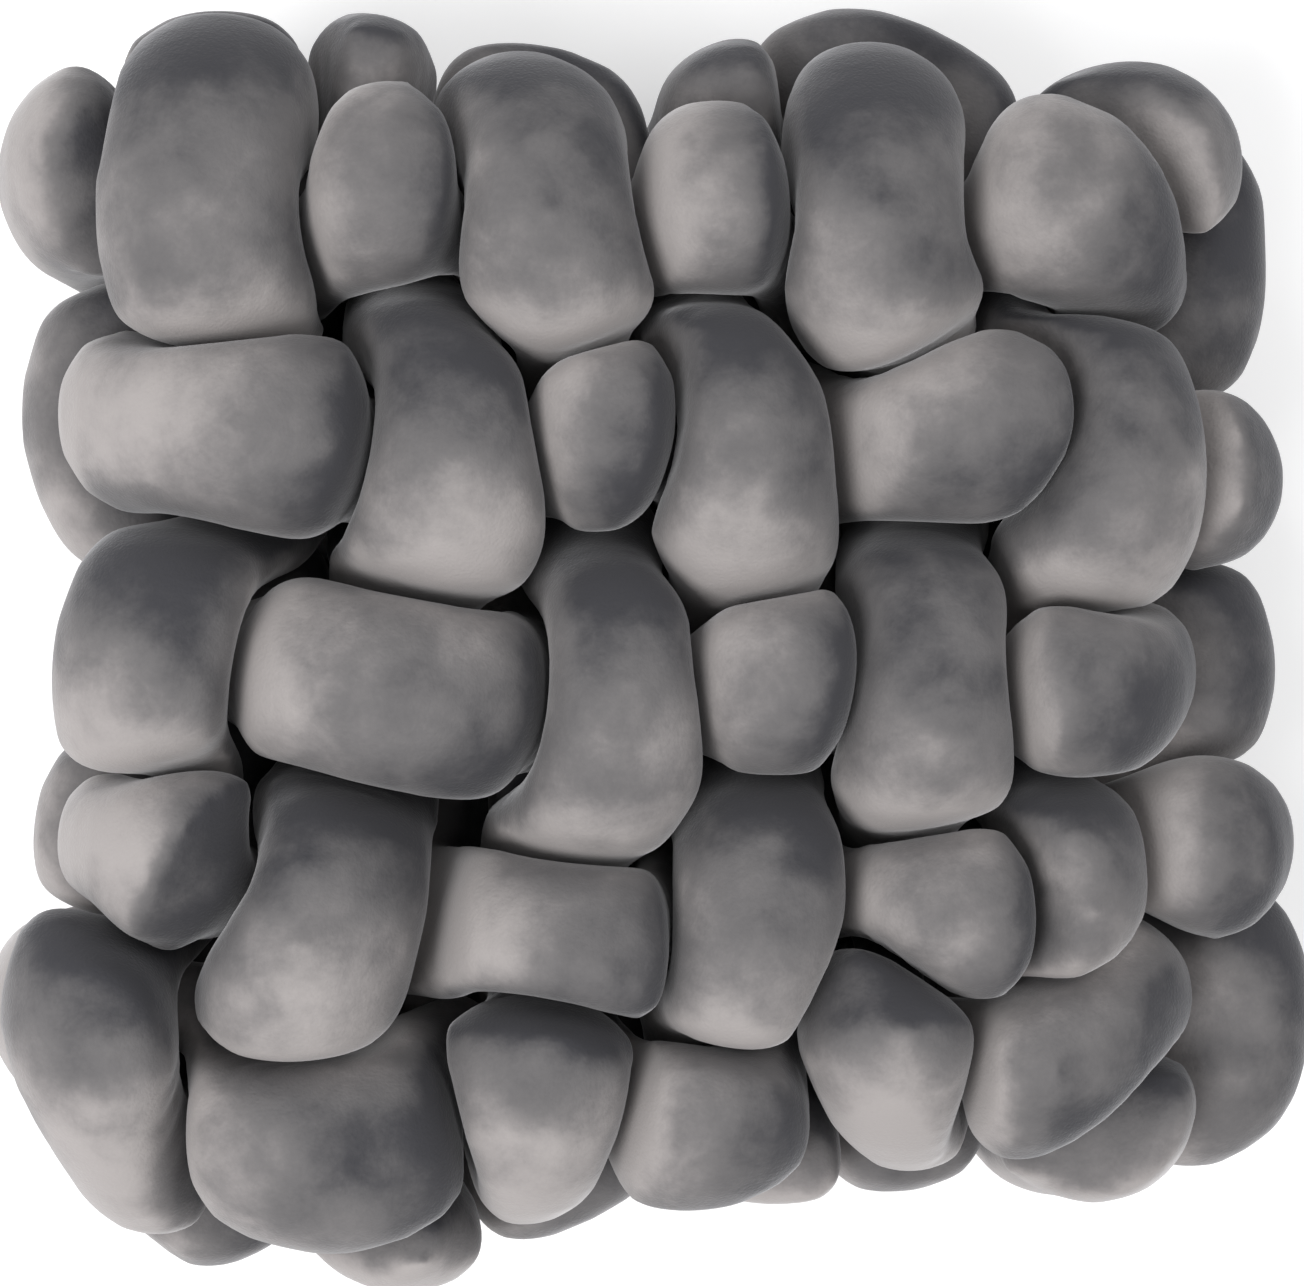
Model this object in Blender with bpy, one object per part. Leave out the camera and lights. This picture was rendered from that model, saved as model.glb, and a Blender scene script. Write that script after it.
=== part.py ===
"""Woven cushion made of twelve stuffed velvet tubes, each one sewn end to end into a closed ring.

Six column tubes run down the front, round the lower edge, up the back and over the top edge.
Five row tubes run across the front and back in the same way. One edge tube runs round the rim.
Every tube passes over and under those that it meets in turn, on the front, the back and the rim.

The cushion lies on its back: +Z is its front, +X its right side and +Y its top side. It rests
on z = 0, where the lowest lobes of the back are flat. Tables and sizes are in millimetres and
the meshes are in metres.
"""

from collections import namedtuple
import math

import bpy
import numpy as np

MILLIMETRE = 0.001

# Driving sizes of a tube
TUBE_RADIUS = 27.0
SWELL_LIMIT = 1.15
PRESSED_GAP = 0.9
PRESS_SHARPNESS = 8.0
FACET_GAP = 0.6
FACET_PASSES = 32
FACET_EASE = 0.8
LEAST_RADIUS = 1.5
SWELL_PASSES = 2
NEARLY_ZERO = 1e-6

# Heights of the tubes' centre lines above the surface
MIDDLE_HEIGHT = 77.0
OVER_LEVEL = 57.0
OUTERMOST_DROP = 5.0
UNDER_LEVEL = 19.0

# Turn of a tube round the rim
SHOULDER_RISE = 34.0

# How far a tube lies over its neighbours: 0 under, 1 over. What lies over keeps its round shape
HALF_OVER = 0.5
RISING_SHOULDER = 0.45
FULL_SHOULDER = 0.95
OVER_KEEPS = 250.0
LEAST_ROOM = 30.0

# Forward lean of a column or row tube's lobes, away from the cushion's flat core
LEAN_LIFT = 4.0
LEAN_RANK = 0.12
CORE_MIDDLE = np.array([6.0, 0.0, MIDDLE_HEIGHT])
CORE_HALF_SIZE = np.array([108.0, 104.0, 8.0])
LEANS = {"column": 1.0, "row": 1.0, "edge": 0.0}

# Even layout of the back
BACK_CENTRE = (-7.0, 5.0)
BACK_COLUMN_PITCH = 44.0
BACK_ROW_PITCH = 53.0

# Mesh density
SIDES = 10
STATION_SPACING = 15.0
STATIONS_PER_LOBE = 4
RING_RADIUS = 180.0
PATH_STEP = 3.0
NEIGHBOUR_REACH = 62.0
OWN_TURN_LENGTH = 95.0

# A point that a tube's centre line goes through, with its height from the middle of the cushion
Knot = namedtuple("Knot", "x y height rank is_crossing")

# Where each column tube lies: x on the rim and on each row of the front. At its top and bottom,
# the distances from the middle of the tube's own turn, of the edge tube there, and of the
# shoulders of the turn
ColumnTube = namedtuple(
    "ColumnTube",
    "top row_1 row_2 row_3 row_4 row_5 bottom "
    "top_turn top_edge top_shoulder bottom_turn bottom_edge bottom_shoulder",
)
COLUMN_TUBES = [
    ColumnTube(-122, -124, -112, -134, -116, -148, -119, 132, 150, 141, 114, 146, 130),
    ColumnTube(-80, -76, -60, -82, -98, -101, -74, 143, 119, 136, 153, 127, 146),
    ColumnTube(-42, -37, -22, -18, -33, -38, -36, 122, 142, 132, 120, 142, 128),
    ColumnTube(24, 11, 12, 24, 20, 4, 30, 140, 117, 133, 132, 109, 127),
    ColumnTube(56, 49, 80, 66, 72, 56, 70, 130, 155, 140, 109, 130, 121),
    ColumnTube(133, 104, 116, 102, 100, 98, 128, 138, 117, 131, 133, 111, 128),
]

# Where each row tube lies: y on the rim and on each column of the front, and the same
# distances at its left and right
RowTube = namedtuple(
    "RowTube",
    "left column_1 column_2 column_3 column_4 column_5 column_6 right "
    "left_turn left_edge left_shoulder right_turn right_edge right_shoulder",
)
ROW_TUBES = [
    RowTube(126, 106, 121, 104, 117, 106, 123, 106, 152, 127, 143, 120, 157, 117),
    RowTube(61, 56, 50, 57, 52, 57, 54, 47, 130, 148, 136, 155, 132, 146),
    RowTube(-5, -3, -12, -15, -10, -14, -13, -8, 137, 113, 132, 121, 160, 119),
    RowTube(-54, -59, -72, -83, -76, -75, -66, -58, 126, 145, 136, 158, 134, 150),
    RowTube(-99, -96, -128, -112, -130, -102, -112, -99, 155, 131, 146, 119, 171, 118),
]

# Corners of the edge tube
RimCorner = namedtuple("RimCorner", "x y")
TOP_RIGHT = RimCorner(148, 134)
BOTTOM_RIGHT = RimCorner(164, -130)
BOTTOM_LEFT = RimCorner(-138, -135)
TOP_LEFT = RimCorner(-134, 138)

VELVET_COLOURS = {
    "column": (0.155, 0.152, 0.150, 1.0),
    "row": (0.145, 0.143, 0.142, 1.0),
    "edge": (0.125, 0.125, 0.126, 1.0),
}
VELVET_ROUGHNESS = 0.85


def column_is_over_row(column, row):
    return (column + row) % 2 == 0


def level(over, index, count):
    """Distance from the mid-plane at a crossing. The outermost tubes lie a little lower."""
    if not over:
        return UNDER_LEVEL
    outermost = index in (0, count - 1)
    return OVER_LEVEL - OUTERMOST_DROP if outermost else OVER_LEVEL


def front_crossing(column, row):
    x = COLUMN_TUBES[column][1 + row]
    y = ROW_TUBES[row][1 + column]
    return x, y


def back_crossing(column, row):
    x = BACK_CENTRE[0] + (column - (len(COLUMN_TUBES) - 1) / 2) * BACK_COLUMN_PITCH
    y = BACK_CENTRE[1] + ((len(ROW_TUBES) - 1) / 2 - row) * BACK_ROW_PITCH
    return x, y


def rim_turn(turn, shoulder, edge, place):
    """Knots of a tube going round the rim: front shoulder, turn, back shoulder.

    place(distance, height) gives the point at that distance from the middle.
    """
    over = turn > edge
    shoulder_rank = RISING_SHOULDER if over else FULL_SHOULDER
    return [
        Knot(*place(shoulder, SHOULDER_RISE), shoulder_rank, False),
        Knot(*place(turn, 0.0), float(over), True),
        Knot(*place(shoulder, -SHOULDER_RISE), shoulder_rank, False),
    ]


def column_route(column):
    """Route of a column tube, down the front and up the back."""
    tube = COLUMN_TUBES[column]
    front = []
    back = []
    for row in range(len(ROW_TUBES)):
        over = column_is_over_row(column, row)
        height = level(over, column, len(COLUMN_TUBES))
        front.append(Knot(*front_crossing(column, row), height, float(over), True))
        back.append(Knot(*back_crossing(column, row), -height, float(over), True))
    bottom = rim_turn(
        tube.bottom_turn,
        tube.bottom_shoulder,
        tube.bottom_edge,
        lambda distance, height: (tube.bottom, -distance, height),
    )
    top = rim_turn(
        tube.top_turn,
        tube.top_shoulder,
        tube.top_edge,
        lambda distance, height: (tube.top, distance, height),
    )
    return front + bottom + back[::-1] + top[::-1]


def row_route(row):
    """Route of a row tube, across the front and back again."""
    tube = ROW_TUBES[row]
    front = []
    back = []
    for column in range(len(COLUMN_TUBES)):
        over = not column_is_over_row(column, row)
        height = level(over, row, len(ROW_TUBES))
        front.append(Knot(*front_crossing(column, row), height, float(over), True))
        back.append(Knot(*back_crossing(column, row), -height, float(over), True))
    right = rim_turn(
        tube.right_turn,
        tube.right_shoulder,
        tube.right_edge,
        lambda distance, height: (distance, tube.right, height),
    )
    left = rim_turn(
        tube.left_turn,
        tube.left_shoulder,
        tube.left_edge,
        lambda distance, height: (-distance, tube.left, height),
    )
    return front + right + back[::-1] + left[::-1]


def edge_route():
    """Route of the edge tube, clockwise seen from the front, from its top left corner."""
    route = [Knot(*TOP_LEFT, 0.0, HALF_OVER, False)]
    for tube in COLUMN_TUBES:
        over = float(tube.top_edge > tube.top_turn)
        route.append(Knot(tube.top, tube.top_edge, 0.0, over, True))
    route.append(Knot(*TOP_RIGHT, 0.0, HALF_OVER, False))
    for tube in ROW_TUBES:
        over = float(tube.right_edge > tube.right_turn)
        route.append(Knot(tube.right_edge, tube.right, 0.0, over, True))
    route.append(Knot(*BOTTOM_RIGHT, 0.0, HALF_OVER, False))
    for tube in reversed(COLUMN_TUBES):
        over = float(tube.bottom_edge > tube.bottom_turn)
        route.append(Knot(tube.bottom, -tube.bottom_edge, 0.0, over, True))
    route.append(Knot(*BOTTOM_LEFT, 0.0, HALF_OVER, False))
    for tube in reversed(ROW_TUBES):
        over = float(tube.left_edge > tube.left_turn)
        route.append(Knot(-tube.left_edge, tube.left, 0.0, over, True))
    return route


def outward_of(points):
    """Direction from the cushion's flat core to each point."""
    from_middle = points - CORE_MIDDLE
    outward = from_middle - np.clip(from_middle, -CORE_HALF_SIZE, CORE_HALF_SIZE)
    return outward / np.maximum(np.linalg.norm(outward, axis=1), NEARLY_ZERO)[:, None]


class Centreline:
    """A smooth closed curve through a route's knots. Where a tube dives after a lobe it lies
    farther out than where it rose before it, by the lean."""

    def __init__(self, route, lean):
        knots = np.array([[knot.x, knot.y, knot.height + MIDDLE_HEIGHT] for knot in route])
        count = len(knots)
        chord = np.sqrt(np.linalg.norm(np.roll(knots, -1, axis=0) - knots, axis=1))
        chord_before = np.roll(chord, 1)
        step_after = (np.roll(knots, -1, axis=0) - knots) / chord[:, None]
        step_before = np.roll(step_after, 1, axis=0)
        total = (chord + chord_before)[:, None]
        slope = (step_before * chord[:, None] + step_after * chord_before[:, None]) / total

        points = []
        ranks = []
        lifts = []
        crossing_samples = []
        for index in range(count):
            following = (index + 1) % count
            span = np.linalg.norm(knots[following] - knots[index])
            pieces = max(2, int(math.ceil(span / PATH_STEP)))
            if route[index].is_crossing:
                crossing_samples.append(len(points))
            for piece in range(pieces):
                t = piece / pieces
                share = t * t * (3 - 2 * t)
                dive = route[index].rank - route[following].rank
                forward = lean * dive * math.sin(math.pi * t)
                ranks.append(route[index].rank - dive * share + forward * LEAN_RANK)
                lifts.append(forward * LEAN_LIFT)
                points.append(
                    (2 * t**3 - 3 * t**2 + 1) * knots[index]
                    + (t**3 - 2 * t**2 + t) * chord[index] * slope[index]
                    + (3 * t**2 - 2 * t**3) * knots[following]
                    + (t**3 - t**2) * chord[index] * slope[following]
                )
        self.points = np.array(points)
        self.points += outward_of(self.points) * np.array(lifts)[:, None]
        self.ranks = np.array(ranks)
        gaps = np.linalg.norm(np.roll(self.points, -1, axis=0) - self.points, axis=1)
        self.lengths = np.concatenate([[0.0], np.cumsum(gaps)])
        self.length = self.lengths[-1]
        self.crossings = self.lengths[crossing_samples]

    def at(self, lengths):
        """Points and unit tangents at distances along the curve."""
        closed = np.vstack([self.points, self.points[:1]])

        def place(values):
            values = np.mod(values, self.length)
            return np.column_stack(
                [np.interp(values, self.lengths, closed[:, axis]) for axis in range(3)]
            )

        ahead = place(lengths + PATH_STEP)
        behind = place(lengths - PATH_STEP)
        tangents = ahead - behind
        tangents /= np.linalg.norm(tangents, axis=1)[:, None]
        return place(lengths), tangents

    def rank_at(self, lengths):
        ranks = np.append(self.ranks, self.ranks[0])
        return np.interp(np.mod(lengths, self.length), self.lengths, ranks)

    def stations(self):
        """Distances of the sections, spread so that each crossing lies midway between two."""
        result = []
        for index, start in enumerate(self.crossings):
            end = self.crossings[(index + 1) % len(self.crossings)]
            span = (end - start) % self.length
            count = max(STATIONS_PER_LOBE, 2 * round(span / STATION_SPACING / 2))
            result.extend(start + span * (step + 0.5) / count for step in range(count))
        return np.array(result)


class Section:
    """One cross-section of a tube, with the pieces of centre line that lie near it."""

    def __init__(self, centre, rank, directions, along, line, others):
        self.centre = centre
        self.rank = rank
        self.directions = directions
        own_gap = np.abs(line.lengths[:-1] - along % line.length)
        own_gap = np.minimum(own_gap, line.length - own_gap)
        far_turn = own_gap > OWN_TURN_LENGTH
        samples = np.column_stack([line.points, line.ranks])
        self.own = self.near(samples[~far_turn])
        self.others = self.near(np.vstack([others, samples[far_turn]]))
        self.radii = self.pressed_radii()

    def near(self, samples):
        distance = np.linalg.norm(samples[:, :3] - self.centre, axis=1)
        return samples[distance < NEIGHBOUR_REACH]

    def pressed_radii(self):
        """Radius in each direction, so that the skin stays on its own side of a plane between
        its centre and every other centre line, and no lower than the surface. The plane lies
        nearer to the tube that is under. What is pressed flat swells."""
        offset = self.others[:, :3] - self.centre
        facing = self.directions @ offset.T + PRESSED_GAP
        room = (offset**2).sum(axis=1) - PRESSED_GAP**2
        room = np.maximum(room + OVER_KEEPS * (self.rank - self.others[:, 3]), LEAST_ROOM)
        limit = (room / (2 * np.maximum(facing, NEARLY_ZERO))).min(axis=1)
        radius = TUBE_RADIUS
        for _ in range(SWELL_PASSES):
            skin = (radius**-PRESS_SHARPNESS + limit**-PRESS_SHARPNESS) ** (-1 / PRESS_SHARPNESS)
            swell = TUBE_RADIUS / math.sqrt(np.mean(skin**2))
            radius = TUBE_RADIUS * min(max(swell, 1.0), SWELL_LIMIT)
        fall = np.maximum(-self.directions[:, 2], NEARLY_ZERO)
        return np.minimum(skin, self.centre[2] / fall)

    def skin(self):
        return self.centre + self.directions * self.radii[:, None]


def nearest(points, samples):
    """The strongest claim on each point: squared distance to a sample less what its rank
    keeps. Returned with that sample's distance."""
    squares = ((points[:, None, :] - samples[None, :, :3]) ** 2).sum(axis=2)
    claims = squares - OVER_KEEPS * samples[:, 3]
    strongest = claims.argmin(axis=1)
    row = np.arange(len(points))
    return claims[row, strongest], np.sqrt(squares[row, strongest])


def facet_weights():
    """Shares of a facet's four corners at the points where its clearance is measured."""
    corners = np.eye(4)
    weights = []
    for first in range(4):
        for second in range(first + 1, 4):
            weights.append((corners[first] + corners[second]) / 2)
    for missing in range(4):
        triangle = [corner for corner in range(4) if corner != missing]
        for heavy in triangle:
            share = corners[triangle].sum(axis=0) / 6 + corners[heavy] / 2
            weights.append(share)
    return np.array(weights)


def clear_facets(sections):
    """Draws sections in until the flat facets between them keep clear of every neighbour."""
    weights = facet_weights()
    for _ in range(FACET_PASSES):
        settled = True
        for index, section in enumerate(sections):
            following = sections[(index + 1) % len(sections)]
            here = section.skin()
            there = following.skin()
            corners = np.array([here, np.roll(here, -1, axis=0), np.roll(there, -1, axis=0), there])
            points = np.einsum("wc,csx->wsx", weights, corners).reshape(-1, 3)
            own_claim, own_distance = nearest(points, section.own)
            other_claim, other_distance = nearest(points, section.others)
            excess = (own_claim - other_claim) / (own_distance + other_distance) + FACET_GAP
            excess = excess.reshape(len(weights), SIDES).clip(min=0.0)
            if not excess.any():
                continue
            settled = False
            per_corner = (excess[:, None, :] * (weights > 0)[:, :, None]).max(axis=0)
            draw_here = np.maximum(per_corner[0], np.roll(per_corner[1], 1))
            draw_there = np.maximum(per_corner[3], np.roll(per_corner[2], 1))
            section.radii = np.maximum(section.radii - draw_here * FACET_EASE, LEAST_RADIUS)
            following.radii = np.maximum(following.radii - draw_there * FACET_EASE, LEAST_RADIUS)
        if settled:
            return


def tube_skin(name, lines, side_axis):
    """Vertices of a pressed tube, section by section."""
    line = lines[name]
    others = np.vstack(
        [
            np.column_stack([other.points, other.ranks])
            for key, other in lines.items()
            if key != name
        ]
    )
    stations = line.stations()
    centres, tangents = line.at(stations)
    ranks = line.rank_at(stations)
    angles = 2 * math.pi * (np.arange(SIDES) + 0.5) / SIDES
    outward = np.cross(tangents, side_axis)
    outward /= np.linalg.norm(outward, axis=1)[:, None]
    side = np.cross(outward, tangents)
    directions = (
        np.cos(angles)[None, :, None] * outward[:, None, :]
        + np.sin(angles)[None, :, None] * side[:, None, :]
    )
    sections = [
        Section(centre, rank, around, along, line, others)
        for centre, rank, around, along in zip(centres, ranks, directions, stations)
    ]
    clear_facets(sections)
    return np.array([section.skin() for section in sections])


def velvet(name, kind):
    material = bpy.data.materials.new(name + "_velvet")
    material.use_nodes = True
    shader = material.node_tree.nodes["Principled BSDF"]
    shader.inputs["Base Color"].default_value = VELVET_COLOURS[kind]
    shader.inputs["Roughness"].default_value = VELVET_ROUGHNESS
    shader.inputs["Metallic"].default_value = 0.0
    return material


def make_tube(name, kind, rings, middle, collection):
    """A torus whose sections are laid along the tube's pressed skin."""
    bpy.ops.mesh.primitive_torus_add(
        major_segments=len(rings),
        minor_segments=SIDES,
        major_radius=RING_RADIUS * MILLIMETRE,
        minor_radius=TUBE_RADIUS * MILLIMETRE,
    )
    tube = bpy.context.object
    tube.name = name
    tube.data.name = name
    skin = (rings.reshape(-1, 3) - middle) * MILLIMETRE
    tube.data.vertices.foreach_set("co", skin.astype(np.float32).ravel())
    tube.data.update()
    tube.data.shade_smooth()
    tube.data.materials.append(velvet(name, kind))
    for user in list(tube.users_collection):
        user.objects.unlink(tube)
    collection.objects.link(tube)


def main():
    for item in list(bpy.data.objects):
        bpy.data.objects.remove(item)
    collection = bpy.data.collections.new("woven_tube_cushion")
    bpy.context.scene.collection.children.link(collection)

    tubes = {}
    for column in range(len(COLUMN_TUBES)):
        tubes[f"column_tube_{column + 1}"] = ("column", (1.0, 0.0, 0.0), column_route(column))
    for row in range(len(ROW_TUBES)):
        tubes[f"row_tube_{row + 1}"] = ("row", (0.0, 1.0, 0.0), row_route(row))
    tubes["edge_tube"] = ("edge", (0.0, 0.0, -1.0), edge_route())

    lines = {name: Centreline(route, LEANS[kind]) for name, (kind, _, route) in tubes.items()}
    skins = {name: tube_skin(name, lines, axis) for name, (_, axis, _) in tubes.items()}

    everything = np.vstack([rings.reshape(-1, 3) for rings in skins.values()])
    middle = (everything.min(axis=0) + everything.max(axis=0)) / 2
    middle[2] = 0.0
    for name, (kind, _, _) in tubes.items():
        make_tube(name, kind, skins[name], middle, collection)


main()
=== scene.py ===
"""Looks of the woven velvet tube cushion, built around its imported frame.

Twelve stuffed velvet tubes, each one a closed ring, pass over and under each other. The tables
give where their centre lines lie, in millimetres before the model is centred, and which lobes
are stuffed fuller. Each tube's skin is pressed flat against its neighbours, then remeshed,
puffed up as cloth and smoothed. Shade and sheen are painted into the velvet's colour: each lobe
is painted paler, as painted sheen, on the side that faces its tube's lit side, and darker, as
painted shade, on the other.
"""

from collections import namedtuple
import math

import bmesh
import bpy
import numpy as np
from mathutils import Matrix, Vector


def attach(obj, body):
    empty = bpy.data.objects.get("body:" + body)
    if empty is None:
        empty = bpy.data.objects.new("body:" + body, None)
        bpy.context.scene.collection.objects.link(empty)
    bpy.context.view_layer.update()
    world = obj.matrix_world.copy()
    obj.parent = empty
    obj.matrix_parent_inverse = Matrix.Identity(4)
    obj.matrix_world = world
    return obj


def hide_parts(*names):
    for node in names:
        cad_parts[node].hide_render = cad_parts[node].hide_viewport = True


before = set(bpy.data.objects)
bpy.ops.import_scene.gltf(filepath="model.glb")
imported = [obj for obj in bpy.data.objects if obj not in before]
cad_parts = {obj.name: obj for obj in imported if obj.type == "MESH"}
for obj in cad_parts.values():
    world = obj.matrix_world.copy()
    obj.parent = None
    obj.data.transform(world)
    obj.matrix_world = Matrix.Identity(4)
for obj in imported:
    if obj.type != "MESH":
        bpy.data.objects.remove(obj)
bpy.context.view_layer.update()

MM = 0.001
TINY = 1e-6

# Tubes, and how they press on each other, in millimetres
TUBE_RADIUS = 27.6
SWELL_LIMIT = 1.15
SWELL_PASSES = 2
PRESSED_GAP = 0.4
PRESS_SHARPNESS = 8.0
OVER_KEEPS = 650.0
MOST_KEPT = 0.5

# A rank says how far a tube lies over its neighbours: 0 under, 1 over, and more if fuller
HALF_OVER = 0.5
RISING_SHOULDER = 0.4
FULL_SHOULDER = 0.95
TOP_SHOULDER = 1.7

# How much the end of a lobe gains over what it meets, in height and in rank
LEAN_LIFT = 4.0
LEAN_RANK = 0.12

# Height of the cushion's middle over the ground, and of the centre lines over that middle
MIDDLE_HEIGHT = 77.0
OVER_LEVEL = 57.0
OUTERMOST_DROP = 5.0
UNDER_LEVEL = 19.0
SHOULDER_RISE = 34.0

# Flat core inside the weave, from which the lobes rise outward
CORE_MIDDLE = np.array([6.0, 0.0, MIDDLE_HEIGHT])
CORE_HALF_SIZE = np.array([108.0, 104.0, 8.0])

# Crossings of the back, evenly spaced
BACK_CENTRE = (-7.0, 5.0)
BACK_COLUMN_PITCH = 44.0
BACK_ROW_PITCH = 53.0

# Point that becomes the model's origin
MODEL_CENTRE = np.array([6.52, -0.08, 0.0])

# Mesh of a tube
SIDES = 48
SECTION_SPACING = 4.0
PATH_STEP = 3.0
NEAREST_STRIDE = 2
NEIGHBOUR_REACH = 62.0
OWN_TURN_LENGTH = 95.0
CLOTH_VOXEL = 5.0
CROWDED = 1.8
SMOOTH_FACTOR = 0.5
FIRST_SMOOTHING = 5
PUFF_SMOOTHING = 2
LAST_SMOOTHING = 6

# Cloth that is blown up for a few frames
PUFF_PRESSURE = 4.0
PUFF_QUALITY = 4
PUFF_FRAMES = 12
PUFF_CAP = 3.0
CLOTH_MASS = 0.3
CLOTH_STIFFNESS = 15.0
CLOTH_BENDING = 0.3

# Places of a column tube across the cushion, at its top, each row and its bottom, and how far
# out it, the edge tube and its own shoulders lie where it turns round the rim
ColumnTube = namedtuple(
    "ColumnTube",
    "top row_1 row_2 row_3 row_4 row_5 bottom "
    "top_turn top_edge top_shoulder bottom_turn bottom_edge bottom_shoulder",
)
COLUMN_TUBES = [
    ColumnTube(-122, -124, -112, -134, -124, -148, -133, 132, 150, 141, 114, 146, 130),
    ColumnTube(-84, -76, -60, -82, -98, -101, -74, 143, 119, 136, 153, 127, 146),
    ColumnTube(-42, -37, -22, -18, -33, -38, -45, 122, 142, 132, 120, 142, 128),
    ColumnTube(24, 11, 12, 24, 20, 1, 30, 140, 117, 133, 132, 109, 127),
    ColumnTube(56, 49, 80, 66, 72, 54, 68, 130, 155, 140, 109, 130, 117),
    ColumnTube(133, 104, 116, 102, 100, 87, 122, 138, 117, 131, 133, 111, 128),
]

# The same for a row tube, with its places up the cushion
RowTube = namedtuple(
    "RowTube",
    "left column_1 column_2 column_3 column_4 column_5 column_6 right "
    "left_turn left_edge left_shoulder right_turn right_edge right_shoulder",
)
ROW_TUBES = [
    RowTube(126, 106, 121, 104, 117, 106, 123, 106, 152, 127, 143, 120, 157, 117),
    RowTube(61, 56, 50, 57, 55, 59, 50, 47, 130, 148, 136, 155, 132, 146),
    RowTube(-5, -3, -12, -15, -10, -14, -13, -8, 137, 113, 132, 121, 160, 119),
    RowTube(-54, -59, -72, -83, -76, -75, -66, -58, 126, 145, 136, 158, 134, 150),
    RowTube(-99, -93, -129, -112, -122, -99, -112, -99, 155, 131, 146, 119, 171, 118),
]

# Lobes that are stuffed fuller or slacker than others, counted from the top left of the front
FullLobe = namedtuple("FullLobe", "column row fuller")
FULL_LOBES = [
    FullLobe(1, 1, 0.1),
    FullLobe(2, 1, 0.1),
    FullLobe(3, 1, 0.2),
    FullLobe(4, 1, 0.1),
    FullLobe(5, 1, 0.2),
    FullLobe(1, 2, 0.15),
    FullLobe(2, 2, 0.4),
    FullLobe(3, 2, 0.3),
    FullLobe(4, 2, 0.25),
    FullLobe(5, 2, 0.4),
    FullLobe(6, 2, 0.3),
    FullLobe(1, 3, -0.3),
    FullLobe(2, 3, 0.7),
    FullLobe(5, 3, 0.3),
    FullLobe(1, 4, 0.35),
    FullLobe(2, 4, 1.0),
    FullLobe(3, 4, 0.1),
    FullLobe(4, 4, 0.3),
    FullLobe(5, 4, 0.55),
    FullLobe(1, 5, -0.5),
    FullLobe(2, 5, 0.9),
    FullLobe(3, 5, 0.5),
    FullLobe(5, 5, 0.45),
]
LOBE_FULLNESS = {(lobe.column, lobe.row): lobe.fuller for lobe in FULL_LOBES}

# Corners that the edge tube rounds
RimCorner = namedtuple("RimCorner", "x y")
TOP_RIGHT = RimCorner(148, 134)
BOTTOM_RIGHT = RimCorner(164, -130)
BOTTOM_LEFT = RimCorner(-131, -137)
TOP_LEFT = RimCorner(-134, 138)

# What the tubes of one direction share: an axis across them, how much their lobes lean, the
# side that their lobes are painted paler on as painted sheen, with painted shade on the side
# away from it, and how much paler they are as a whole
TubeKind = namedtuple("TubeKind", "side_axis lean pile tone")
TUBE_KINDS = {
    "column": TubeKind((1.0, 0.0, 0.0), 1.0, (-0.15, -1.0), 0.0),
    "row": TubeKind((0.0, 1.0, 0.0), 1.0, (-0.9, 0.25), 0.0),
    "edge": TubeKind((0.0, 0.0, -1.0), 0.0, (-0.6, -0.5), -0.12),
}


# Routes of the tubes

def column_is_over_row(column, row):
    return (column + row) % 2 == 0


def level(over, index, count):
    if not over:
        return UNDER_LEVEL
    return OVER_LEVEL - OUTERMOST_DROP if index in (0, count - 1) else OVER_LEVEL


def front_rank(over, column, row):
    """How far a tube lies over its neighbours at a crossing: 0 under, about 1 or more over."""
    return 1.0 + LOBE_FULLNESS.get((column + 1, row + 1), 0.0) if over else 0.0


def back_crossing(column, row):
    x = BACK_CENTRE[0] + (column - (len(COLUMN_TUBES) - 1) / 2) * BACK_COLUMN_PITCH
    y = BACK_CENTRE[1] + ((len(ROW_TUBES) - 1) / 2 - row) * BACK_ROW_PITCH
    return x, y


def rim_turn(turn, shoulder, edge, place, full_shoulder=FULL_SHOULDER):
    """Front shoulder, turn and back shoulder of a tube that goes over or under the edge tube."""
    over = turn > edge
    shoulder_rank = RISING_SHOULDER if over else full_shoulder
    return [
        (*place(shoulder, SHOULDER_RISE), shoulder_rank),
        (*place(turn, 0.0), float(over)),
        (*place(shoulder, -SHOULDER_RISE), shoulder_rank),
    ]


def column_route(column):
    tube = COLUMN_TUBES[column]
    front = []
    back = []
    for row in range(len(ROW_TUBES)):
        over = column_is_over_row(column, row)
        height = level(over, column, len(COLUMN_TUBES))
        rank = front_rank(over, column, row)
        front.append((tube[1 + row], ROW_TUBES[row][1 + column], height, rank))
        back.append((*back_crossing(column, row), -height, float(over)))
    bottom = rim_turn(
        tube.bottom_turn,
        tube.bottom_shoulder,
        tube.bottom_edge,
        lambda far, z: (tube.bottom, -far, z),
    )
    top = rim_turn(
        tube.top_turn,
        tube.top_shoulder,
        tube.top_edge,
        lambda far, z: (tube.top, far, z),
        TOP_SHOULDER,
    )
    return front + bottom + back[::-1] + top[::-1]


def row_route(row):
    tube = ROW_TUBES[row]
    front = []
    back = []
    for column in range(len(COLUMN_TUBES)):
        over = not column_is_over_row(column, row)
        height = level(over, row, len(ROW_TUBES))
        rank = front_rank(over, column, row)
        front.append((COLUMN_TUBES[column][1 + row], tube[1 + column], height, rank))
        back.append((*back_crossing(column, row), -height, float(over)))
    right = rim_turn(
        tube.right_turn,
        tube.right_shoulder,
        tube.right_edge,
        lambda far, z: (far, tube.right, z),
    )
    left = rim_turn(
        tube.left_turn,
        tube.left_shoulder,
        tube.left_edge,
        lambda far, z: (-far, tube.left, z),
    )
    return front + right + back[::-1] + left[::-1]


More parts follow.
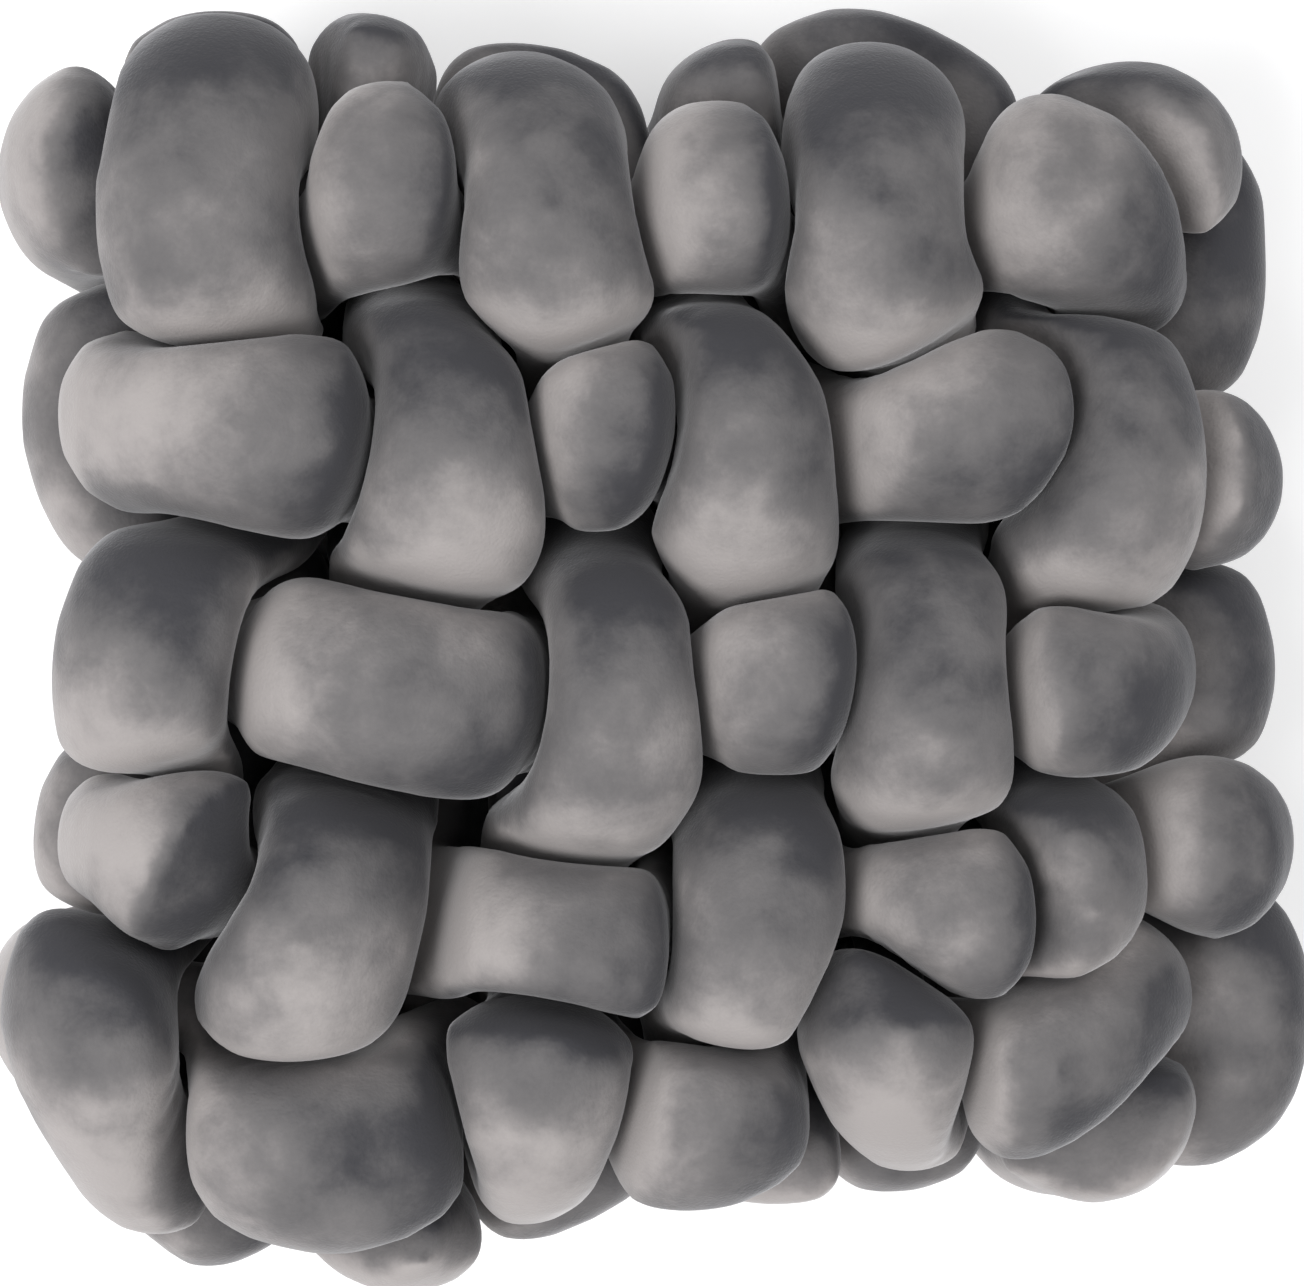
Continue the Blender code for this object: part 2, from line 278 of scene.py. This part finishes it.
def edge_route():
    route = [(*TOP_LEFT, 0.0, HALF_OVER)]
    for tube in COLUMN_TUBES:
        route.append((tube.top, tube.top_edge, 0.0, float(tube.top_edge > tube.top_turn)))
    route.append((*TOP_RIGHT, 0.0, HALF_OVER))
    for tube in ROW_TUBES:
        route.append((tube.right_edge, tube.right, 0.0, float(tube.right_edge > tube.right_turn)))
    route.append((*BOTTOM_RIGHT, 0.0, HALF_OVER))
    for tube in reversed(COLUMN_TUBES):
        over = float(tube.bottom_edge > tube.bottom_turn)
        route.append((tube.bottom, -tube.bottom_edge, 0.0, over))
    route.append((*BOTTOM_LEFT, 0.0, HALF_OVER))
    for tube in reversed(ROW_TUBES):
        route.append((-tube.left_edge, tube.left, 0.0, float(tube.left_edge > tube.left_turn)))
    return route


def tube_routes():
    """Each tube's kind and route, by its name."""
    routes = {}
    for column in range(len(COLUMN_TUBES)):
        routes[f"column_tube_{column + 1}"] = ("column", column_route(column))
    for row in range(len(ROW_TUBES)):
        routes[f"row_tube_{row + 1}"] = ("row", row_route(row))
    routes["edge_tube"] = ("edge", edge_route())
    return routes


def outward_of(points):
    """Direction from the cushion's flat core to each point."""
    from_middle = points - CORE_MIDDLE
    outward = from_middle - np.clip(from_middle, -CORE_HALF_SIZE, CORE_HALF_SIZE)
    return outward / np.maximum(np.linalg.norm(outward, axis=1), TINY)[:, None]


def curve_between(t, start, start_slope, end, end_slope):
    """Point at share t of a cubic curve between two knots, with its slope at each knot."""
    return (
        (2 * t**3 - 3 * t**2 + 1) * start
        + (t**3 - 2 * t**2 + t) * start_slope
        + (3 * t**2 - 2 * t**3) * end
        + (t**3 - t**2) * end_slope
    )


class Centreline:
    """A smooth closed curve through a tube's crossings. Each lobe leans forward: its end rises
    over what it meets, and its start lies lower."""

    def __init__(self, route, lean):
        knots = np.array(route, dtype=float)
        knot_ranks = knots[:, 3]
        knots = knots[:, :3] + (0.0, 0.0, MIDDLE_HEIGHT)
        chord = np.sqrt(np.linalg.norm(np.roll(knots, -1, axis=0) - knots, axis=1))
        slope = self.slopes(knots, chord)
        points = []
        ranks = []
        lifts = []
        for index in range(len(knots)):
            following = (index + 1) % len(knots)
            span = np.linalg.norm(knots[following] - knots[index])
            pieces = max(2, int(math.ceil(span / PATH_STEP)))
            for piece in range(pieces):
                t = piece / pieces
                share = t * t * (3 - 2 * t)
                rank = knot_ranks[index] * (1 - share) + knot_ranks[following] * share
                forward = lean * (knot_ranks[index] - knot_ranks[following]) * math.sin(math.pi * t)
                ranks.append(rank + forward * LEAN_RANK)
                lifts.append(forward * LEAN_LIFT)
                points.append(curve_between(
                    t,
                    knots[index],
                    chord[index] * slope[index],
                    knots[following],
                    chord[index] * slope[following],
                ))
        self.points = np.array(points)
        self.points += outward_of(self.points) * np.array(lifts)[:, None]
        self.ranks = np.array(ranks)
        gaps = np.linalg.norm(np.roll(self.points, -1, axis=0) - self.points, axis=1)
        self.lengths = np.concatenate([[0.0], np.cumsum(gaps)])
        self.length = self.lengths[-1]

    def slopes(self, knots, chord):
        chord_before = np.roll(chord, 1)
        step_after = (np.roll(knots, -1, axis=0) - knots) / chord[:, None]
        step_before = np.roll(step_after, 1, axis=0)
        total = (chord + chord_before)[:, None]
        return (step_before * chord[:, None] + step_after * chord_before[:, None]) / total

    def place(self, lengths):
        lengths = np.mod(lengths, self.length)
        closed = np.vstack([self.points, self.points[:1]])
        axes = [np.interp(lengths, self.lengths, closed[:, axis]) for axis in range(3)]
        return np.column_stack(axes)

    def at(self, lengths):
        """Places, directions and ranks of the curve at some lengths along it."""
        tangents = self.place(lengths + PATH_STEP) - self.place(lengths - PATH_STEP)
        tangents /= np.linalg.norm(tangents, axis=1)[:, None]
        closed_ranks = np.append(self.ranks, self.ranks[0])
        ranks = np.interp(np.mod(lengths, self.length), self.lengths, closed_ranks)
        return self.place(lengths), tangents, ranks


# Skins of the tubes

def room_towards(directions, centre, rank, others, other_ranks):
    """How far a tube may reach from its centre in each direction. The tube that lies over
    keeps its round shape, and the one under it gives way."""
    offset = others - centre
    facing = directions @ offset.T + PRESSED_GAP
    square = (offset**2).sum(axis=1)
    kept = np.clip(OVER_KEEPS * (rank - other_ranks), -MOST_KEPT * square, MOST_KEPT * square)
    limit = (square - PRESSED_GAP**2 + kept) / (2 * np.maximum(facing, TINY))
    return limit.min(axis=1)


def pressed_radii(centre, rank, directions, others, other_ranks):
    """Radius of one section in each direction. What is pressed flat swells elsewhere."""
    limit = room_towards(directions, centre, rank, others, other_ranks)
    radius = TUBE_RADIUS
    for _ in range(SWELL_PASSES):
        skin = (radius**-PRESS_SHARPNESS + limit**-PRESS_SHARPNESS) ** (-1 / PRESS_SHARPNESS)
        swell = TUBE_RADIUS / math.sqrt(np.mean(skin**2))
        radius = TUBE_RADIUS * min(max(swell, 1.0), SWELL_LIMIT)
    fall = np.maximum(-directions[:, 2], TINY)
    return np.minimum(skin, centre[2] / fall)


class Neighbours:
    """The centre lines that a tube is pressed against."""

    def __init__(self, name, lines):
        self.line = lines[name]
        rest = [other for key, other in lines.items() if key != name]
        self.points = np.vstack([other.points for other in rest])
        self.ranks = np.concatenate([other.ranks for other in rest])

    def near(self, centre, along):
        """Points and ranks within reach, the tube's own far turns among them."""
        own_gap = np.abs(self.line.lengths[:-1] - along)
        own_gap = np.minimum(own_gap, self.line.length - own_gap)
        far = own_gap > OWN_TURN_LENGTH
        points = np.vstack([self.points, self.line.points[far]])
        ranks = np.concatenate([self.ranks, self.line.ranks[far]])
        reached = np.linalg.norm(points - centre, axis=1) < NEIGHBOUR_REACH
        return points[reached], ranks[reached]

    def keep_clear(self, places):
        """Draws places on the skin in to their own side of the contact with each neighbour."""
        line = self.line
        marks = line.points[::NEAREST_STRIDE]
        gaps = ((places[:, None, :] - marks[None, :, :]) ** 2).sum(axis=2)
        nearest = NEAREST_STRIDE * gaps.argmin(axis=1)
        kept = places.copy()
        for index in np.unique(nearest):
            chosen = np.flatnonzero(nearest == index)
            centre = line.points[index]
            spoke = places[chosen] - centre
            radii = np.linalg.norm(spoke, axis=1)
            directions = spoke / radii[:, None]
            others, ranks = self.near(centre, line.lengths[index])
            room = room_towards(directions, centre, line.ranks[index], others, ranks)
            kept[chosen] = centre + directions * np.minimum(radii, room)[:, None]
        kept[:, 2] = np.maximum(kept[:, 2], 0.0)
        return kept


def tube_rings(neighbours, side_axis):
    """Rings of places on a tube's skin, one round each section of its centre line."""
    line = neighbours.line
    count = int(line.length / SECTION_SPACING)
    along = line.length * np.arange(count) / count
    centres, tangents, ranks = line.at(along)
    outward = np.cross(tangents, side_axis)
    outward /= np.linalg.norm(outward, axis=1)[:, None]
    side = np.cross(outward, tangents)
    angles = 2 * math.pi * np.arange(SIDES) / SIDES
    rings = []
    for index in range(count):
        directions = np.cos(angles)[:, None] * outward[index] + np.sin(angles)[:, None] * side[index]
        near, near_ranks = neighbours.near(centres[index], along[index])
        radii = pressed_radii(centres[index], ranks[index], directions, near, near_ranks)
        rings.append(centres[index] + directions * radii[:, None])
    return np.array(rings)


def ring_mesh(name, rings):
    """Joins rings of vertices into one closed ring-shaped skin."""
    count, sides, _ = rings.shape
    mesh = bpy.data.meshes.new(name)
    corner = np.arange(count * sides).reshape(count, sides)
    ahead = np.roll(corner, -1, axis=0)
    faces = np.stack([corner, np.roll(corner, -1, axis=1), np.roll(ahead, -1, axis=1), ahead], axis=-1)
    places = ((rings - MODEL_CENTRE) * MM).reshape(-1, 3)
    mesh.from_pydata(places.tolist(), [], faces.reshape(-1, 4).tolist())
    mesh.update()
    tube = bpy.data.objects.new(name, mesh)
    bpy.context.scene.collection.objects.link(tube)
    work = bmesh.new()
    work.from_mesh(mesh)
    bmesh.ops.recalc_face_normals(work, faces=work.faces)
    work.to_mesh(mesh)
    work.free()
    return tube


def places_of(mesh):
    flat = np.empty(len(mesh.vertices) * 3, dtype=np.float32)
    mesh.vertices.foreach_get("co", flat)
    return flat.reshape(-1, 3).astype(float)


def set_places(mesh, places):
    mesh.vertices.foreach_set("co", places.astype(np.float32).ravel())
    mesh.update()


def modifier(tube, kind, **settings):
    added = tube.modifiers.new(kind.lower(), kind)
    for name, value in settings.items():
        setattr(added, name, value)
    return added


def apply_modifiers(tube):
    shaped = bpy.data.meshes.new_from_object(tube.evaluated_get(bpy.context.evaluated_depsgraph_get()))
    tube.modifiers.clear()
    old = tube.data
    tube.data = shaped
    bpy.data.meshes.remove(old)


def puff(tube):
    """Blows the velvet up as cloth, so that it tightens over its stuffing."""
    before = places_of(tube.data)
    cloth = modifier(tube, "CLOTH")
    settings = cloth.settings
    settings.quality = PUFF_QUALITY
    settings.mass = CLOTH_MASS
    settings.use_pressure = True
    settings.uniform_pressure_force = PUFF_PRESSURE
    settings.effector_weights.gravity = 0.0
    settings.tension_stiffness = CLOTH_STIFFNESS
    settings.compression_stiffness = CLOTH_STIFFNESS
    settings.bending_stiffness = CLOTH_BENDING
    cloth.collision_settings.use_collision = False
    cloth.point_cache.frame_start = 1
    cloth.point_cache.frame_end = PUFF_FRAMES
    for step in range(1, PUFF_FRAMES + 1):
        bpy.context.scene.frame_set(step)
    apply_modifiers(tube)
    bpy.context.scene.frame_set(1)
    moved = places_of(tube.data) - before
    far = np.linalg.norm(moved, axis=1)[:, None] / MM
    set_places(tube.data, before + moved * np.minimum(1.0, PUFF_CAP / np.maximum(far, TINY)))


def soften(tube, neighbours):
    """Remeshes a tube's skin, which clears the folds inside its tight turns, then puffs it up,
    smooths it and presses it against its neighbours again."""
    modifier(tube, "REMESH", mode="VOXEL", voxel_size=CLOTH_VOXEL * MM, use_smooth_shade=True)
    modifier(tube, "WELD", merge_threshold=CROWDED * MM)
    modifier(tube, "SMOOTH", factor=SMOOTH_FACTOR, iterations=FIRST_SMOOTHING)
    apply_modifiers(tube)
    puff(tube)
    modifier(tube, "SMOOTH", factor=SMOOTH_FACTOR, iterations=PUFF_SMOOTHING)
    modifier(tube, "SUBSURF", levels=1, render_levels=1)
    apply_modifiers(tube)
    places = places_of(tube.data) / MM + MODEL_CENTRE
    set_places(tube.data, (neighbours.keep_clear(places) - MODEL_CENTRE) * MM)
    modifier(tube, "SMOOTH", factor=SMOOTH_FACTOR, iterations=LAST_SMOOTHING)
    apply_modifiers(tube)
    tube.data.shade_smooth()


def paint_facing_shade(tube, lit_side):
    """Paints shade and sheen: keeps for each point how far its surface faces the tube's lit side,
    so that the velvet is painted paler where a lobe faces that side and darker, as painted shade,
    where it faces away."""
    mesh = tube.data
    normals = np.empty(len(mesh.vertices) * 3, dtype=np.float32)
    mesh.vertices.foreach_get("normal", normals)
    lean = normals.reshape(-1, 3)[:, :2] @ np.array(lit_side)
    attribute = mesh.attributes.new("facing_shade", "FLOAT", "POINT")
    attribute.data.foreach_set("value", lean.astype(np.float32))


# Materials

class Value:
    """A number that varies over a surface. Its operators add Math nodes."""

    def __init__(self, surface, socket):
        self.surface = surface
        self.socket = socket

    def _math(self, operation, first, second):
        return self.surface.node("ShaderNodeMath", {"operation": operation}, {0: first, 1: second})

    def __add__(self, other):
        return self._math("ADD", self, other)

    def __radd__(self, other):
        return self._math("ADD", other, self)

    def __sub__(self, other):
        return self._math("SUBTRACT", self, other)

    def __rsub__(self, other):
        return self._math("SUBTRACT", other, self)

    def __mul__(self, other):
        return self._math("MULTIPLY", self, other)

    def __rmul__(self, other):
        return self._math("MULTIPLY", other, self)


# A Mix node has sockets of its own for colours, which only their numbers tell apart
COLOUR_FIRST = 6
COLOUR_SECOND = 7
COLOUR_MIXED = 2


class Surface:
    """A material and the nodes that make it."""

    def __init__(self, name):
        self.material = bpy.data.materials.new(name)
        self.material.use_nodes = True
        self.tree = self.material.node_tree
        self.shader = self.tree.nodes["Principled BSDF"]

    def node(self, kind, settings, values, output=0):
        added = self.tree.nodes.new(kind)
        for name, value in settings.items():
            setattr(added, name, value)
        for key, value in values.items():
            self.put(added.inputs[key], value)
        return Value(self, added.outputs[output])

    def put(self, socket, value):
        if isinstance(value, Value):
            self.tree.links.new(value.socket, socket)
        else:
            socket.default_value = value

    def finish(self, values):
        for name, value in values.items():
            self.put(self.shader.inputs[name], value)
        return self.material

    def place(self):
        return self.node("ShaderNodeTexCoord", {}, {}, output="Object")

    def step_up(self, value, low, high):
        """Rises softly from 0 to 1 as a value goes from low to high."""
        return self.node(
            "ShaderNodeMapRange",
            {"interpolation_type": "SMOOTHSTEP"},
            {"Value": value, "From Min": low, "From Max": high},
        )

    def mix(self, share, first, second):
        return self.node(
            "ShaderNodeMix",
            {"data_type": "RGBA"},
            {"Factor": share, COLOUR_FIRST: first, COLOUR_SECOND: second},
            output=COLOUR_MIXED,
        )

    def cloud(self, place, pattern):
        """Soft noise from 0 to 1 whose blots are about pattern.size millimetres across."""
        return self.node(
            "ShaderNodeTexNoise",
            {},
            {
                "Vector": place,
                "Scale": 1.0 / (pattern.size * MM),
                "Detail": pattern.detail,
                "Roughness": pattern.roughness,
                "Distortion": pattern.distortion,
            },
        )


# Velvet: its colours, from painted shade and dark mottling, through the middle tone, to painted sheen
# and pale mottling
DARK_MOTTLE_AND_SHADE_VELVET = (0.050, 0.050, 0.056, 1.0)
MID_VELVET = (0.147, 0.141, 0.143, 1.0)
PALE_MOTTLE_AND_SHEEN_VELVET = (0.357, 0.332, 0.326, 1.0)
# Starting level of the colour, and how strongly painted shade and sheen move it
BASE_SHADE_AND_MOTTLE = 0.45
FACING_SHADE_SHARE = 0.64
DEEP_TO_MID = (0.0, 0.5)
MID_TO_PALE = (0.42, 1.0)
Pattern = namedtuple("Pattern", "size detail roughness distortion share")
BLOTS = Pattern(38.0, 1.5, 0.5, 0.15, 0.95)
STREAKS = Pattern(13.0, 3.0, 0.55, 0.25, 0.5)
GRAIN = Pattern(1.6, 2.0, 0.7, 0.0, 0.12)
PILE_TIPS = Pattern(0.9, 1.0, 0.5, 0.0, 1.0)
GRAIN_HEIGHT = 0.6
PILE_BUMP = {"Strength": 0.35, "Distance": 0.0004}
DEEP_ROUGHNESS = 0.95
PALE_SMOOTHER = 0.15
VELVET_FINISH = {
    "Specular IOR Level": 0.15,
    "Sheen Weight": 0.5,
    "Sheen Roughness": 0.35,
    "Sheen Tint": (0.86, 0.86, 0.88, 1.0),
}
# How far along the cloth each next tube is cut, in metres
NEXT_CUT = (0.31, 0.17)


def grey_velvet(name, tone, index):
    velvet = Surface(name)
    cut = (NEXT_CUT[0] * index, NEXT_CUT[1] * index, 0.0)
    place = velvet.node("ShaderNodeVectorMath", {"operation": "ADD"}, {0: velvet.place(), 1: cut})
    # Each point's painted shade and sheen, from how its skin faces the lit side
    facing_shade = velvet.node("ShaderNodeAttribute", {"attribute_name": "facing_shade"}, {}, output="Fac")
    grain = velvet.cloud(place, GRAIN)
    # Painted shade and sheen, with random grain, blots and streaks of tone, set how dark or pale the
    # velvet is painted
    shade_and_mottle = BASE_SHADE_AND_MOTTLE + tone + FACING_SHADE_SHARE * facing_shade + GRAIN.share * (grain - 0.5)
    for pattern in (BLOTS, STREAKS):
        shade_and_mottle = shade_and_mottle + pattern.share * (velvet.cloud(place, pattern) - 0.5)
    pale_mottle_and_sheen = velvet.step_up(shade_and_mottle, *MID_TO_PALE)
    colour = velvet.mix(velvet.step_up(shade_and_mottle, *DEEP_TO_MID), DARK_MOTTLE_AND_SHADE_VELVET, MID_VELVET)
    height = velvet.cloud(place, PILE_TIPS) + GRAIN_HEIGHT * grain
    return velvet.finish({
        "Base Color": velvet.mix(pale_mottle_and_sheen, colour, PALE_MOTTLE_AND_SHEEN_VELVET),
        "Roughness": DEEP_ROUGHNESS - PALE_SMOOTHER * pale_mottle_and_sheen,
        "Normal": velvet.node("ShaderNodeBump", {}, {**PILE_BUMP, "Height": height}),
        **VELVET_FINISH,
    })


# White paper ground with a painted glow: it glows a little except under the cushion, which whitens the
# ground round the cushion and lights the cushion a little, while the shade under the cushion stays
GROUND_SIZE = 6.0
# The paper's finish, and the strength of its painted glow
PAPER_FINISH_AND_GLOW = {
    "Base Color": (0.96, 0.96, 0.965, 1.0),
    "Roughness": 0.9,
    "Specular IOR Level": 0.1,
    "Emission Strength": 0.2,
}
GLOW_REACH = (0.13, 0.2)


def glowing_white_paper():
    paper = Surface("glowing_white_paper")
    distance = paper.node(
        "ShaderNodeVectorMath", {"operation": "LENGTH"}, {0: paper.place()}, output="Value"
    )
    return paper.finish({"Emission Color": paper.step_up(distance, *GLOW_REACH), **PAPER_FINISH_AND_GLOW})


# Making

def make_tubes():
    routes = tube_routes()
    lines = {name: Centreline(route, TUBE_KINDS[kind].lean) for name, (kind, route) in routes.items()}
    for index, (name, (kind, _)) in enumerate(routes.items()):
        side_axis, _, lit_side, tone = TUBE_KINDS[kind]
        neighbours = Neighbours(name, lines)
        tube = ring_mesh("velvet_" + name, tube_rings(neighbours, side_axis))
        soften(tube, neighbours)
        # Painted shade and sheen, from how each point of the skin faces the lit side
        paint_facing_shade(tube, lit_side)
        tube.data.materials.clear()
        tube.data.materials.append(grey_velvet("velvet_" + name, tone, index))
        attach(tube, "root")
        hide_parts(name)


def make_floor():
    bpy.ops.mesh.primitive_plane_add(size=GROUND_SIZE, location=(0.0, 0.0, 0.0))
    floor = bpy.context.object
    floor.name = "floor"
    floor.data.materials.append(glowing_white_paper())


# Camera: its turn about the cushion's upright axis, and how far it stands from the cushion
CAMERA_YAW = math.radians(8.0)
CAMERA_DISTANCE = 0.708
PICTURE_WIDTH = 1304
FOCAL_PIXELS = 2430.0
SENSOR_WIDTH = 36.0


def make_camera():
    aim = Vector((0.0, 0.0, MIDDLE_HEIGHT * MM)) - Vector(MODEL_CENTRE * MM)
    forward = Vector((math.sin(CAMERA_YAW), 0.0, -math.cos(CAMERA_YAW)))
    right = Vector((math.cos(CAMERA_YAW), 0.0, math.sin(CAMERA_YAW)))
    up = Vector((0.0, 1.0, 0.0))
    data = bpy.data.cameras.new("camera")
    data.sensor_width = SENSOR_WIDTH
    data.sensor_fit = "HORIZONTAL"
    data.lens = FOCAL_PIXELS / PICTURE_WIDTH * SENSOR_WIDTH
    camera = bpy.data.objects.new("camera", data)
    bpy.context.scene.collection.objects.link(camera)
    camera.location = aim - forward * CAMERA_DISTANCE
    camera.rotation_euler = Matrix((right, up, -forward)).transposed().to_euler()
    bpy.context.scene.camera = camera


# Soft studio light from all round, with two lamps that face the cushion
ROOM_LIGHT = 0.6
Lamp = namedtuple("Lamp", "name place size power")
LAMPS = [
    Lamp("key", (-1.0, -0.6, 1.6), 0.8, 25.0),
    Lamp("fill", (0.9, 0.9, 1.8), 1.2, 12.0),
]


def make_lamp(lamp):
    data = bpy.data.lights.new(lamp.name, "AREA")
    data.shape = "SQUARE"
    data.size = lamp.size
    data.energy = lamp.power
    light = bpy.data.objects.new(lamp.name, data)
    bpy.context.scene.collection.objects.link(light)
    light.location = lamp.place
    light.rotation_euler = (-Vector(lamp.place)).to_track_quat("-Z", "Y").to_euler()


def make_studio():
    world = bpy.data.worlds.new("studio")
    world.use_nodes = True
    background = world.node_tree.nodes["Background"]
    background.inputs["Color"].default_value = (1.0, 1.0, 1.0, 1.0)
    background.inputs["Strength"].default_value = ROOM_LIGHT
    bpy.context.scene.world = world
    for lamp in LAMPS:
        make_lamp(lamp)
    bpy.context.scene.view_settings.view_transform = "Standard"


make_tubes()
make_floor()
make_camera()
make_studio()
